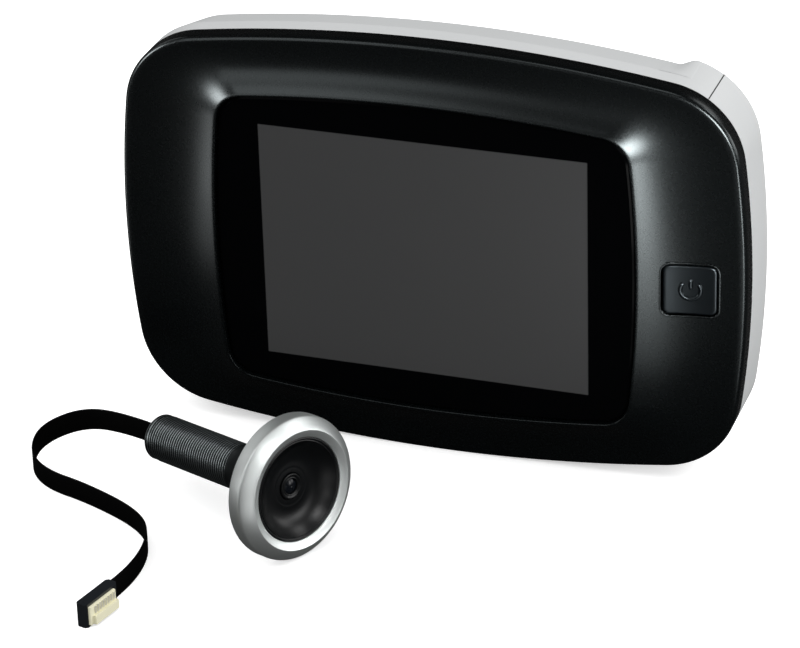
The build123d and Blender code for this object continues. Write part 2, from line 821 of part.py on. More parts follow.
# Axis of the camera tube, pointing out of its front
tube_axis = Vector(tube_axis_x, tube_axis_y, tube_axis_z).normalized()
tube_side = Vector(0, 0, 1).cross(tube_axis).normalized()
tube_front = Vector(tube_x, tube_y, tube_z)
tube_line = Axis(tube_front, tube_axis)
profile_plane = Plane(origin=tube_front, x_dir=tube_side, z_dir=tube_side.cross(tube_axis))


def tube_plane(distance):
    """Plane across the camera tube, a given distance behind its dark front circle."""
    return Plane(origin=tube_front - tube_axis * distance, x_dir=tube_side, z_dir=tube_axis)


# Metal bezel ring of the camera
stack_front = dish_floor + dish_thickness + seat_gap
with BuildPart() as ring_bezel:
    with BuildSketch(profile_plane):
        with BuildLine():
            Polyline(
                (dish_radius, -lip_drop), (lip_radius, lip_rise), (flange_radius, -bevel_back),
                (flange_radius, -flange_back), (barrel_radius + seat_gap, -flange_back),
                (barrel_radius + seat_gap, -stack_front), (dish_radius, -stack_front), close=True,
            )
        make_face()
    revolve(axis=tube_line)
    rounded_edges = ring_bezel.edges().filter_by(GeomType.CIRCLE).group_by(SortBy.RADIUS)[-1]
    fillet(rounded_edges, radius=flange_round)
ring_bezel.part.label = "ring_bezel"
export_step(ring_bezel.part, "parts/ring_bezel.step")

# Black dish round the lens, a shallow bowl with a flat floor
dish_reach = dish_radius - seat_gap
with BuildPart() as lens_dish:
    with BuildSketch(profile_plane):
        with BuildLine():
            ThreePointArc(
                (dish_reach, -lip_drop - seat_gap),
                (
                    (dish_reach + dish_floor_radius) / 2,
                    -(lip_drop + seat_gap + dish_floor) / 2 - dish_sag,
                ),
                (dish_floor_radius, -dish_floor),
            )
            Polyline(
                (dish_floor_radius, -dish_floor),
                (lens_ring_radius + seat_gap, -dish_floor),
                (lens_ring_radius + seat_gap, -dish_floor - dish_thickness),
                (dish_reach, -dish_floor - dish_thickness),
                (dish_reach, -lip_drop - seat_gap),
            )
        make_face()
    revolve(axis=tube_line)
lens_dish.part.label = "lens_dish"
export_step(lens_dish.part, "parts/lens_dish.step")

# Retaining ring and front lens at the centre of the dish
with BuildPart() as lens_ring:
    with BuildSketch(tube_plane(stack_front)):
        Circle(lens_ring_radius)
        Circle(lens_ring_bore, mode=Mode.SUBTRACT)
    extrude(amount=stack_front - dish_floor + lens_ring_rise)
lens_ring.part.label = "lens_ring"
export_step(lens_ring.part, "parts/lens_ring.step")

with BuildPart() as camera_lens:
    with BuildSketch(profile_plane):
        with BuildLine():
            Polyline(
                (0, -lens_front + lens_dome), (0, -stack_front), (lens_radius, -stack_front),
                (lens_radius, -lens_front),
            )
            RadiusArc(
                (lens_radius, -lens_front), (0, -lens_front + lens_dome),
                -(lens_radius**2 + lens_dome**2) / (2 * lens_dome),
            )
        make_face()
    revolve(axis=tube_line)
camera_lens.part.label = "camera_lens"
export_step(camera_lens.part, "parts/camera_lens.step")

# Lens barrel block, image sensor and the small round board behind it
sensor_front = stack_front + holder_length
board_seat = sensor_front + sensor_thickness
with BuildPart() as lens_holder:
    with BuildSketch(tube_plane(sensor_front)):
        Circle(holder_radius)
        Circle(lens_ring_bore, mode=Mode.SUBTRACT)
    extrude(amount=holder_length)
    with BuildSketch(tube_plane(board_seat)):
        Circle(holder_radius)
        Circle(holder_radius - holder_skirt, mode=Mode.SUBTRACT)
    extrude(amount=sensor_thickness)
lens_holder.part.label = "lens_holder"
export_step(lens_holder.part, "parts/lens_holder.step")

with BuildPart() as image_sensor:
    with BuildSketch(tube_plane(board_seat)):
        Rectangle(sensor_size, sensor_size)
    extrude(amount=sensor_thickness)
image_sensor.part.label = "image_sensor"
export_step(image_sensor.part, "parts/image_sensor.step")

with BuildPart() as sensor_board:
    with BuildSketch(tube_plane(board_seat + sensor_board_thickness)):
        Circle(sensor_board_radius)
    extrude(amount=sensor_board_thickness)
sensor_board.part.label = "sensor_board"
export_step(sensor_board.part, "parts/sensor_board.step")

# Barrel, its front end flared out to the back of the ring
with BuildPart() as barrel_tube:
    with BuildSketch(profile_plane):
        with BuildLine():
            Polyline(
                (barrel_radius, -flange_back - neck_length),
                (barrel_radius, barrel_chamfer - barrel_back),
                (barrel_radius - barrel_chamfer, -barrel_back), (barrel_bore, -barrel_back),
                (barrel_bore, -stack_front), (barrel_radius, -stack_front),
                (barrel_radius, -flange_back), (neck_radius, -flange_back),
            )
            ThreePointArc(
                (neck_radius, -flange_back),
                (
                    (neck_radius + barrel_radius) / 2 - neck_sag,
                    -flange_back - neck_length / 2 + neck_sag,
                ),
                (barrel_radius, -flange_back - neck_length),
            )
        make_face()
    revolve(axis=tube_line)
barrel_tube.part.label = "barrel_tube"
export_step(barrel_tube.part, "parts/barrel_tube.step")

# Route of the ribbon, and the way its flat side faces at the tail so that the band,
# bending only across its thickness, stands upright when it reaches the plug
tail_point = tube_front - tube_axis * barrel_back
lead_point = tail_point - tube_axis * ribbon_lead
route = [tail_point, lead_point] + [Vector(*point) for point in ribbon_points]
runs = [after - before for before, after in zip(route, route[1:])]
corners = list(zip(runs, runs[1:]))
bend_radii = []
for before, after in corners:
    half_turn = math.radians(before.get_angle(after)) / 2
    bend_radii.append(corner_share * min(before.length, after.length) / math.tan(half_turn))
plug_way = runs[-1].normalized()
plug_side = plug_way.cross(Vector(0, 0, -1))
ribbon_side = plug_side
for before, after in reversed(corners):
    hinge = Axis((0, 0, 0), after.cross(before))
    ribbon_side = ribbon_side.rotate(hinge, after.get_angle(before))
tail_plane = Plane(origin=tail_point, x_dir=ribbon_side, z_dir=tube_axis)

# Flat lead inside the barrel and the bush it leaves through
with BuildPart() as inner_flex:
    with BuildSketch(tail_plane):
        Rectangle(ribbon_thickness, ribbon_width)
    extrude(amount=barrel_back - board_seat - sensor_board_thickness)
inner_flex.part.label = "inner_flex"
export_step(inner_flex.part, "parts/inner_flex.step")

with BuildPart() as tail_bush:
    with BuildSketch(tail_plane):
        Circle(barrel_bore - seat_gap)
        Rectangle(
            ribbon_thickness + 2 * bush_slot_gap, ribbon_width + 2 * bush_slot_gap,
            mode=Mode.SUBTRACT,
        )
    extrude(amount=bush_length)
tail_bush.part.label = "tail_bush"
export_step(tail_bush.part, "parts/tail_bush.step")

# Ribbon cable, a flat band on edge along straight runs joined by arcs
with BuildPart() as ribbon_cable:
    with BuildLine() as ribbon_line:
        FilletPolyline(*route, radius=bend_radii)
    with BuildSketch(tail_plane):
        Rectangle(ribbon_thickness, ribbon_width)
    sweep(path=ribbon_line.wires()[0])
ribbon_cable.part.label = "ribbon_cable"
export_step(ribbon_cable.part, "parts/ribbon_cable.step")

# Plug: housing, insulating insert in two steps and the pins along its face


def plug_plane(distance):
    """Upright plane along the plug, a given distance beyond its middle towards the insert."""
    return Plane(
        origin=route[-1] + plug_side * (plug_shift + distance), x_dir=plug_way, z_dir=plug_side
    )


with BuildPart() as plug_housing:
    with BuildSketch(plug_plane(-plug_thickness / 2)):
        Rectangle(plug_length, plug_height, align=(Align.MIN, Align.CENTER))
    extrude(amount=plug_thickness)
    chamfer(plug_housing.edges().filter_by(Axis.Z), length=plug_edge_chamfer)
plug_housing.part.label = "plug_housing"
export_step(plug_housing.part, "parts/plug_housing.step")

with BuildPart() as plug_insert:
    with BuildSketch(plug_plane(plug_thickness / 2)):
        with Locations((insert_start, 0)):
            Rectangle(insert_length, insert_height, align=(Align.MIN, Align.CENTER))
    extrude(amount=insert_thickness)
    with BuildSketch(plug_plane(plug_thickness / 2 + insert_thickness)):
        with Locations((insert_start, insert_height / 2)):
            Rectangle(
                insert_step_length, insert_step_height, align=(Align.MIN, Align.MAX)
            )
    extrude(amount=insert_step_thickness)
plug_insert.part.label = "plug_insert"
export_step(plug_insert.part, "parts/plug_insert.step")

with BuildPart() as plug_pins:
    with BuildSketch(plug_plane(plug_thickness / 2 + insert_thickness)):
        with Locations((insert_start + insert_step_length / 2, -insert_step_height / 2)):
            with GridLocations(pin_pitch, 0, pin_count, 1):
                Rectangle(pin_width, pin_height)
    extrude(amount=pin_thickness)
plug_pins.part.label = "plug_pins"
export_step(plug_pins.part, "parts/plug_pins.step")
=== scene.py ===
import json
import math

import bmesh
import bpy
from mathutils import Euler, Matrix, Vector
from mathutils.bvhtree import BVHTree


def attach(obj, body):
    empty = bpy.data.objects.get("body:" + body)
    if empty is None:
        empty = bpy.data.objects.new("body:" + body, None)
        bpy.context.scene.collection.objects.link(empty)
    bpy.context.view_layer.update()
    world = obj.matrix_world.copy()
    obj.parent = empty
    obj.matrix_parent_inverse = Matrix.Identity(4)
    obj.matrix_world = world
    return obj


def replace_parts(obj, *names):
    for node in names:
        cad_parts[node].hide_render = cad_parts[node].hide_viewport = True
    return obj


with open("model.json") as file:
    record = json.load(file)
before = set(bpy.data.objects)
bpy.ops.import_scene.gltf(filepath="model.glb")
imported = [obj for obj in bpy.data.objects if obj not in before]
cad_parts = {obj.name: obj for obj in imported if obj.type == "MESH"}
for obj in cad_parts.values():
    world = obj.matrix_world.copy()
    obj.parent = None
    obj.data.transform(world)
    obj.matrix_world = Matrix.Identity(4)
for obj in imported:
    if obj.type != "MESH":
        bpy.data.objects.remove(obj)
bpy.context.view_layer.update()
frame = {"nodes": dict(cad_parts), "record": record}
nodes = frame["nodes"]
MM = 0.001
WHITE = (1, 1, 1, 1)

# Sizes that the dressed pieces share with the solids, in millimetres. On the display unit a depth
# counts back from the rim at RIM_Y, and x and z count from the middle, which is CENTRE_Z up. The
# screen reaches so far to each side and up and down.
RIM_Y = 21.58
CENTRE_Z = 46.0
SCREEN_REACH = (35.04, 26.28)
BEZEL_DEPTH = 4.6
BEZEL_WALL = 2.0
RIM_ROUND = 1.0
CREST_RISE = 3.8
FLARE_POWER = 2.8
LEDGE_DEPTH = -1.5
LEDGE_WIDTH = 6.0
RIDGE_DEPTH = 8.6
HOUSING_DEPTH = 18.4
BACK_INSET = 2.1
BACK_ROUND = 1.8

# Bowed outlines: half width, half height, and radius of the long edges, of the short edges and
# of the corners
RIM = (134.7 / 2, 92.3 / 2, 343.4, 211.9, 17.6)
CREST = (90.7 / 2, 69.1 / 2, 342.8, 255.8, 6.4)

# Camera tube: the middle of its dark front circle, its own axes, and its length behind the circle
TUBE_FRONT = Vector((-10.94, -27.49, 15.45))
TUBE_AXIS = Vector((0.88229, -0.45925, 0.10325)).normalized()
TUBE_SIDE = Vector((0, 0, 1)).cross(TUBE_AXIS).normalized()
TUBE_UP = TUBE_AXIS.cross(TUBE_SIDE)
TUBE_LENGTH = 44.1

# Barrel and its thread. Distances count forward from the dark circle, so those behind it are
# negative.
BARREL_R = 4.88
BARREL_BORE = 3.6
BARREL_SIDES = 64
NECK_GROWTH = 4.4
NECK_POWER = 1.35
NECK_FRONT = -5.02
THREAD_START = -17.6
THREAD_END = -42.6
THREAD_DEPTH = 0.24
THREAD_STEPS = 6
PITCH = 0.68


# Shader nodes

def feed(tree, node, inputs):
    """Give a node's inputs, by name or number, a value or the output of another node."""
    for key, value in inputs.items():
        if isinstance(value, bpy.types.NodeSocket):
            tree.links.new(value, node.inputs[key])
        else:
            node.inputs[key].default_value = value


def add_node(tree, kind, inputs=None, **settings):
    """New shader node of a kind with its settings and inputs."""
    node = tree.nodes.new("ShaderNode" + kind)
    for key, value in settings.items():
        setattr(node, key, value)
    feed(tree, node, inputs or {})
    return node


def maths(tree, operation, *values):
    """Result of a maths node."""
    return add_node(tree, "Math", dict(enumerate(values)), operation=operation).outputs[0]


def noise(tree, place, scale, detail=2.0):
    """Level of a noise at a place."""
    inputs = {"Vector": place, "Scale": scale, "Detail": detail}
    return add_node(tree, "TexNoise", inputs).outputs["Fac"]


def value_range(tree, value, low, high, start=0.0, end=1.0):
    """Value that runs from low to high while the given one runs from start to end."""
    inputs = {"Value": value, "From Min": start, "From Max": end, "To Min": low, "To Max": high}
    return add_node(tree, "MapRange", inputs).outputs["Result"]


def colour_range(tree, value, first, last, start=0.0, end=1.0):
    """Colour that runs from the first to the last while a value runs from start to end."""
    ramp = add_node(tree, "ValToRGB", {"Fac": value})
    elements = ramp.color_ramp.elements
    elements[0].position = start
    elements[1].position = end
    elements[0].color = (*first, 1)
    elements[1].color = (*last, 1)
    return ramp.outputs["Color"]


def matt_grey(tree, level):
    """Matt grey shader."""
    return add_node(tree, "BsdfDiffuse", {"Color": (level, level, level, 1)}).outputs["BSDF"]


def by_ray(tree, rays, others, matching):
    """Shader for rays that match a kind, such as camera rays, and one for all others."""
    paths = add_node(tree, "LightPath")
    inputs = {"Fac": paths.outputs["Is " + rays + " Ray"], 1: others, 2: matching}
    return add_node(tree, "MixShader", inputs).outputs["Shader"]


# Materials

def new_material(name):
    """New material with its node tree and main shader."""
    mat = bpy.data.materials.new(name)
    mat.use_nodes = True
    return mat, mat.node_tree, mat.node_tree.nodes["Principled BSDF"]


def finish_material(
    name, colour, rough, metal=0.0, specular=0.5, tint=(1, 1, 1), coat=0.0, grain=900.0,
    bump=0.05, stretch=(1, 1, 1), vary=0.12, mottle=60.0,
):
    """Finish with fine grain in its relief and roughness, and slow mottling in its colour."""
    mat, tree, bsdf = new_material(name)
    place = add_node(tree, "TexCoord").outputs["Object"]
    stretched = add_node(tree, "Mapping", {"Vector": place, "Scale": stretch}).outputs["Vector"]
    fine = noise(tree, stretched, grain, detail=3.0)
    slow = noise(tree, place, mottle, detail=4.0)
    darker = [c * (1 - vary) for c in colour]
    lighter = [min(1, c * (1 + vary)) for c in colour]
    relief = add_node(tree, "Bump", {"Height": fine, "Strength": bump, "Distance": 0.05 * MM})
    feed(tree, bsdf, {
        "Base Color": colour_range(tree, slow, darker, lighter, start=0.3, end=0.7),
        "Roughness": value_range(tree, fine, rough * 0.95, min(1, rough * 1.06)),
        "Normal": relief.outputs["Normal"],
        "Metallic": metal,
        "Specular IOR Level": specular,
        "Specular Tint": (*tint, 1),
        "Coat Weight": coat,
        "Coat Roughness": 0.08,
    })
    return mat


def window_material():
    """Black gloss panel with the dull grey of the unlit screen behind its middle."""
    black = (0.0009, 0.0010, 0.0012, 1)
    blur = 0.1
    mat, tree, bsdf = new_material("window_panel")
    place = add_node(tree, "TexCoord").outputs["Object"]
    axes = add_node(tree, "SeparateXYZ", {"Vector": place})
    within = []
    for axis, centre, reach in (("X", 0.0, SCREEN_REACH[0]), ("Z", CENTRE_Z, SCREEN_REACH[1])):
        away = maths(tree, "ABSOLUTE", maths(tree, "SUBTRACT", axes.outputs[axis], centre * MM))
        start = (reach - blur) * MM
        end = (reach + blur) * MM
        within.append(value_range(tree, away, 1.0, 0.0, start, end))
    on_screen = maths(tree, "MULTIPLY", *within)
    haze = noise(tree, place, 25.0)
    grey = colour_range(tree, haze, (0.0475, 0.0479, 0.0485), (0.0485, 0.0489, 0.0495))
    blend = add_node(tree, "Mix", {"Factor": on_screen, 6: black, 7: grey}, data_type="RGBA")
    feed(tree, bsdf, {
        "Base Color": blend.outputs[2],
        "Roughness": value_range(tree, haze, 0.10, 0.14),
        "Specular IOR Level": 0.02,
    })
    return mat


def thread_material():
    """Blackened thread, worn light along its crest and darkened in its groove with painted shade.
    """
    mat, tree, bsdf = new_material("barrel_thread")
    place = add_node(tree, "TexCoord").outputs["Object"]
    inputs = {0: place, 1: TUBE_FRONT * MM}
    from_front = add_node(tree, "VectorMath", inputs, operation="SUBTRACT").outputs["Vector"]
    parts = []
    for way in (TUBE_AXIS, TUBE_SIDE, TUBE_UP):
        inputs = {0: from_front, 1: way}
        part = add_node(tree, "VectorMath", inputs, operation="DOT_PRODUCT")
        parts.append(part.outputs["Value"])
    along, side, rise = parts
    radians_per_metre = -2 * math.pi / (PITCH * MM)
    radians_at_start = 2 * math.pi * THREAD_START / PITCH
    climb = maths(tree, "MULTIPLY_ADD", along, radians_per_metre, radians_at_start)
    turn = maths(tree, "ARCTAN2", rise, side)
    wave = maths(tree, "COSINE", maths(tree, "ADD", climb, turn))
    uneven_wave = maths(tree, "MULTIPLY_ADD", noise(tree, place, 400.0), 0.3, wave)
    # Share that runs from the groove's painted shade to the worn light crest, along the thread's
    # helix
    worn_crest_shaded_groove = value_range(tree, uneven_wave, 0.0, 1.0, start=-0.5, end=1.15)
    feed(tree, bsdf, {
        "Base Color": colour_range(tree, worn_crest_shaded_groove, (0.002, 0.0025, 0.0027), (0.46, 0.51, 0.52)),
        "Metallic": 1.0,
        "Roughness": 0.36,
        "Specular IOR Level": 0.3,
    })
    return mat


FINISHES = {
    "bezel_black": dict(
        colour=(0.0008, 0.0013, 0.0015), rough=0.27, grain=1600, bump=0.002, tint=(0.88, 0.98, 1.0)
    ),
    "button_black": dict(
        colour=(0.0009, 0.0016, 0.0024), rough=0.28, grain=1600, bump=0.004, tint=(0.8, 0.93, 1.0)
    ),
    "foam": dict(colour=(0.03, 0.03, 0.03), rough=0.9, grain=2500, bump=0.5),
    "screen": dict(colour=(0.045, 0.046, 0.047), rough=0.15, vary=0.03),
    "screen_frame": dict(colour=(0.6, 0.6, 0.61), rough=0.35, metal=1.0, stretch=(1, 1, 20)),
    "flex_amber": dict(colour=(0.45, 0.2, 0.03), rough=0.35),
    "board_green": dict(colour=(0.015, 0.12, 0.045), rough=0.4, vary=0.3, mottle=300),
    "chip_black": dict(colour=(0.02, 0.02, 0.021), rough=0.6, bump=0.2),
    "screw_steel": dict(colour=(0.5, 0.5, 0.51), rough=0.3, metal=1.0),
    "housing_grey": dict(
        colour=(0.49, 0.50, 0.503), rough=0.45, grain=1200, bump=0.08, vary=0.015, mottle=30
    ),
    "tray_black": dict(colour=(0.03, 0.03, 0.03), rough=0.6),
    "cell_wrap": dict(colour=(0.1, 0.14, 0.18), rough=0.3, coat=0.3),
    "contact_metal": dict(colour=(0.78, 0.76, 0.66), rough=0.35, metal=0.5),
    "ring_metal": dict(
        colour=(0.87, 0.91, 0.90), rough=0.46, metal=0.95, grain=1800, bump=0.03, vary=0.02
    ),
    "dish_black": dict(
        colour=(0.0018, 0.0023, 0.0028), rough=0.34, specular=0.32, bump=0.005, vary=0.2
    ),
    "lens_glass": dict(
        colour=(0.003, 0.004, 0.006), rough=0.22, specular=0.25, bump=0.002, vary=0.3
    ),
    "barrel_black": dict(
        colour=(0.030, 0.034, 0.035), rough=0.4, metal=0.9, grain=2200, bump=0.01
    ),
    "bush_black": dict(colour=(0.006, 0.006, 0.006), rough=0.7, bump=0.3),
    "ribbon_black": dict(
        colour=(0.0012, 0.0012, 0.0013), rough=0.5, specular=0.08, grain=1500, bump=0.02
    ),
    "plug_black": dict(colour=(0.008, 0.010, 0.013), rough=0.4),
    "insert_cream": dict(colour=(0.82, 0.79, 0.58), rough=0.5, vary=0.03),
}
MATERIALS = {name: finish_material(name, **finish) for name, finish in FINISHES.items()}
MATERIALS["window_black"] = window_material()

slot_of = {entry["node"]: entry["material_slot"] for entry in frame["record"]["subparts"]}
for node, obj in nodes.items():
    for material_slot in obj.material_slots:
        material_slot.material = MATERIALS[slot_of[node]]


# Shapes

def mix(a, b, share):
    """Number a share of the way from a to b."""
    return a + (b - a) * share


def ease(share):
    """Share from 0 to 1 that sets off and arrives without a kink; beyond them it stays."""
    share = min(1, max(0, share))
    return share**3 * (share * (share * 6 - 15) + 10)


def arc_points(centre, radius, start, end, steps):
    """Points (x, z) along an arc, with both of its ends."""
    points = []
    for i in range(steps + 1):
        turn = mix(start, end, i / steps)
        points.append((centre[0] + radius * math.cos(turn), centre[1] + radius * math.sin(turn)))
    return points


def rounded_edge(radius, steps):
    """Steps over a rounded edge: how far each lies in from its side and back from its face."""
    turns = [math.pi / 2 * i / steps for i in range(steps + 1)]
    return [(radius * (1 - math.cos(turn)), radius * (1 - math.sin(turn))) for turn in turns]


def corner_centre(reach_x, reach_z, long_r, short_r, corner_r):
    """Centre (x, z) of the corner arc that meets the arcs of the long and short edges smoothly."""
    long_z = reach_z - long_r
    short_x = reach_x - short_r
    span = math.hypot(short_x, long_z)
    to_long = long_r - corner_r
    to_short = short_r - corner_r
    along = (to_long**2 - to_short**2 + span**2) / (2 * span)
    away = math.sqrt(to_long**2 - along**2)
    way_x = short_x / span
    way_z = -long_z / span
    return along * way_x + away * way_z, long_z + along * way_z - away * way_x


def bowed_outline(reach_x, reach_z, long_r, short_r, corner_r, counts=(34, 26, 22)):
    """Points (x, z) round four bowed edges and four corner arcs.

    The counts are the steps along half a long edge, half a short edge and a corner.
    """
    cx, cz = corner_centre(reach_x, reach_z, long_r, short_r, corner_r)
    long_z = reach_z - long_r
    short_x = reach_x - short_r
    top = math.atan2(cz - long_z, cx)
    side = math.atan2(cz, cx - short_x)
    quarter = (
        arc_points((0, long_z), long_r, math.pi / 2, top, counts[0])[:-1]
        + arc_points((cx, cz), corner_r, top, side, counts[2])[:-1]
        + arc_points((short_x, 0), short_r, side, 0, counts[1])
    )
    right_half = quarter + [(x, -z) for x, z in reversed(quarter[:-1])]
    return right_half + [(-x, z) for x, z in reversed(right_half[1:-1])]


def drawn_in(outline, inset, least_corner=0.0):
    """Points of a bowed outline with all its edges moved in by an inset."""
    edges = [value - inset for value in outline[:4]]
    return bowed_outline(*edges, max(outline[4] - inset, least_corner))


def flare_ring(share, inset=0.0):
    """Points of the outline a share of the way from rim to crest, moved in by an inset."""
    return drawn_in([mix(a, b, share) for a, b in zip(RIM, CREST)], inset)


def rounded_rectangle(width, height, radius, steps=8, side_steps=12):
    """Outline with points along its sides too, so that it can follow a curved face."""
    cx = width / 2 - radius
    cz = height / 2 - radius
    corners = []
    for quarter, centre in enumerate(((cx, cz), (-cx, cz), (-cx, -cz), (cx, -cz))):
        start = math.pi / 2 * quarter
        corners.append(arc_points(centre, radius, start, start + math.pi / 2, steps))
    outline = []
    for corner, after in zip(corners, corners[1:] + corners[:1]):
        outline += corner
        for i in range(1, side_steps):
            x = mix(corner[-1][0], after[0][0], i / side_steps)
            z = mix(corner[-1][1], after[0][1], i / side_steps)
            outline.append((x, z))
    return outline


def on_display(x, depth, z):
    """Point in the shared frame from x, depth and z on the display unit."""
    return x, RIM_Y + depth, CENTRE_Z + z


def on_tube(radius, turn, distance):
    """Point at a radius and turn round the tube, at a distance in front of the dark circle."""
    way = TUBE_SIDE * math.cos(turn) + TUBE_UP * math.sin(turn)
    return TUBE_FRONT + TUBE_AXIS * distance + way * radius


# Meshes

def rings_to_faces(count, size, closed=True, cap_ends=False):
    """Quads between rows of points, a count of rows of one size; closed rows are rings."""
    faces = []
    for row in range(count - 1):
        at = row * size
        for i in range(size if closed else size - 1):
            j = (i + 1) % size
            faces.append((at + i, at + j, at + size + j, at + size + i))
    if cap_ends:
        faces.append(tuple(range(size)))
        faces.append(tuple(range((count - 1) * size, count * size)))
    return faces


def display_mesh(steps, cap_ends=False):
    """Points and faces of rings on the display unit, from steps of an outline and its depth."""
    points = [on_display(x, depth, z) for outline, depth in steps for x, z in outline]
    return points, rings_to_faces(len(steps), len(steps[0][0]), cap_ends=cap_ends)


def add_piece(name, points, faces, slot, body, smooth=35):
    """New mesh piece from points in millimetres, which rides on a body."""
    mesh = bpy.data.meshes.new(name)
    mesh.from_pydata([Vector(point) * MM for point in points], [], faces)
    shape = bmesh.new()
    shape.from_mesh(mesh)
    bmesh.ops.remove_doubles(shape, verts=shape.verts, dist=1e-7)
    bmesh.ops.recalc_face_normals(shape, faces=shape.faces)
    shape.to_mesh(mesh)
    shape.free()
    mesh.shade_smooth()
    mesh.set_sharp_from_angle(angle=math.radians(smooth))
    obj = bpy.data.objects.new(name, mesh)
    bpy.context.scene.collection.objects.link(obj)
    mesh.materials.append(MATERIALS[slot])
    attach(obj, body)
    return obj


def turned_points(profile, sides):
    """Points of rings round the tube, from a profile of radius and distance."""
    turns = [2 * math.pi * i / sides for i in range(sides)]
    return [on_tube(radius, turn, distance) for radius, distance in profile for turn in turns]


def turned_piece(name, profile, slot, smooth, sides):
    """Piece of the camera tube, turned about its axis."""
    faces = rings_to_faces(len(profile), sides)
    return add_piece(name, turned_points(profile, sides), faces, slot, "camera_unit", smooth)


# Front bezel, one skin from its back edge over the rim and flare to the window's ledge
BACK_CHAMFER = 0.12
RIM_STEPS = 7
FLARE_START = 1.03
FLARE_END = 0.985
FLARE_BUNCH = 0.8
FLARE_STEPS = 26
CREST_WIDTH = 0.35
SEARCH_FROM = -30

# Rings over the crest and down to the ledge: inset from the crest's outline and depth
CREST_STEPS = (
    (-0.22, -CREST_RISE - 0.005), (-0.08, -CREST_RISE - 0.01), (0.02, -CREST_RISE + 0.03),
    (0.06, -CREST_RISE + 0.12), (0.06, LEDGE_DEPTH), (LEDGE_WIDTH, LEDGE_DEPTH),
)


def bezel_steps():
    """Outlines and depths of the bezel's rings, from its back edge to the ledge."""
    steps = [
        (flare_ring(0, BEZEL_WALL), BEZEL_WALL),
        (flare_ring(0, BEZEL_WALL), BEZEL_DEPTH),
        (flare_ring(0, BACK_CHAMFER), BEZEL_DEPTH),
        (flare_ring(0), BEZEL_DEPTH - BACK_CHAMFER),
    ]
    for inset, depth in rounded_edge(RIM_ROUND, RIM_STEPS)[:-1]:
        steps.append((flare_ring(0, inset), depth))
    start = FLARE_START / (RIM[1] - CREST[1])
    for i in range(FLARE_STEPS + 1):
        share = mix(start, FLARE_END, (i / FLARE_STEPS) ** FLARE_BUNCH)
        outline = flare_ring(share, -CREST_WIDTH * share)
        steps.append((outline, -CREST_RISE * share**FLARE_POWER))
    for inset, depth in CREST_STEPS:
        steps.append((flare_ring(1, inset), depth))
    return steps


bezel_points, bezel_faces = display_mesh(bezel_steps())
bezel = add_piece(
    "front_bezel_skin", bezel_points, bezel_faces, "bezel_black", "display_unit", smooth=50
)
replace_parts(bezel, "front_bezel")
skin = BVHTree.FromPolygons([Vector(point) for point in bezel_points], bezel_faces)


def on_skin(x, z, drop):
    """Point in the shared frame on the bezel's front skin at x and z, set back by a drop."""
    start = Vector(on_display(x, SEARCH_FROM, z))
    hit = skin.ray_cast(start, Vector((0, 1, 0)))[0]
    return x, hit.y + drop, CENTRE_Z + z


# Button hole and cap, which follow the bezel's curved face: place, size and the gap round the cap
BUTTON_X = 55.8
BUTTON_Z = -0.4
BUTTON_WIDTH = 10.8
BUTTON_HEIGHT = 10.9
BUTTON_CORNER = 1.5
LEAST_CORNER = 0.2
BUTTON_GAP = 0.3
HOLE_CUT = (-8.0, 1.2)
CAP_DROP = 0.04
CAP_FACE_START = -1.6
CAP_FACE_STEP = 0.5
CAP_FACE_RINGS = 8

# Rings of the hole's lip: how far each lies out from the hole, and its drop
HOLE_LIP = ((0.4, -0.012), (0.26, -0.062), (0.1, -0.072), (0.0, 0.048), (0.0, 2.188))

# Rings of the cap's side and rounded edge, and then of its even face: how far each lies out from
# the button's outline, and its drop
CAP_EDGE = [
    (0.06, 1.6), (0.06, 0.46), (0.0, 0.24), (-0.14, 0.1), (-0.4, 0.05), (-0.8, CAP_DROP),
    (-1.2, CAP_DROP),
]
CAP_FACE = [(CAP_FACE_START - CAP_FACE_STEP * i, CAP_DROP) for i in range(CAP_FACE_RINGS)]


def button_outline(grow):
    """Points (x, z) of the button's outline, grown all round."""
    corner = max(LEAST_CORNER, BUTTON_CORNER + grow)
    shape = rounded_rectangle(BUTTON_WIDTH + 2 * grow, BUTTON_HEIGHT + 2 * grow, corner)
    return [(BUTTON_X + x, BUTTON_Z + z) for x, z in shape]


def cut_button_hole():
    """Cut the hole for the button through the skin."""
    outline = button_outline(BUTTON_GAP)
    points, faces = display_mesh([(outline, depth) for depth in HOLE_CUT], cap_ends=True)
    cutter = add_piece("button_hole_tool", points, faces, "bezel_black", "display_unit")
    cut = bezel.modifiers.new("button_hole", "BOOLEAN")
    cut.operation = "DIFFERENCE"
    cut.solver = "EXACT"
    cut.object = cutter
    bpy.context.view_layer.objects.active = bezel
    with bpy.context.temp_override(object=bezel, active_object=bezel, selected_objects=[bezel]):
        bpy.ops.object.modifier_apply(modifier="button_hole")
    bpy.data.objects.remove(cutter, do_unlink=True)


def button_hole_lip():
    """Wall of the button hole with a softened lip."""
    points = []
    for grow, drop in HOLE_LIP:
        points += [on_skin(x, z, drop) for x, z in button_outline(BUTTON_GAP + grow)]
    faces = rings_to_faces(len(HOLE_LIP), len(points) // len(HOLE_LIP))
    add_piece("button_hole_lip", points, faces, "bezel_black", "display_unit", smooth=60)


def button_cap():
    """Cap that follows the flare, with its edges rounded over."""
    rings = CAP_EDGE + CAP_FACE
    points = []
    for grow, drop in rings:
        points += [on_skin(x, z, drop) for x, z in button_outline(grow)]
    size = len(points) // len(rings)
    faces = rings_to_faces(len(rings), size)
    middle = len(points)
    last = middle - size
    points.append(on_skin(BUTTON_X, BUTTON_Z, CAP_DROP))
    faces += [(last + i, last + (i + 1) % size, middle) for i in range(size)]
    return add_piece("button_cap", points, faces, "button_black", "button", smooth=60)


cut_button_hole()
button_hole_lip()
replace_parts(button_cap(), "power_button")

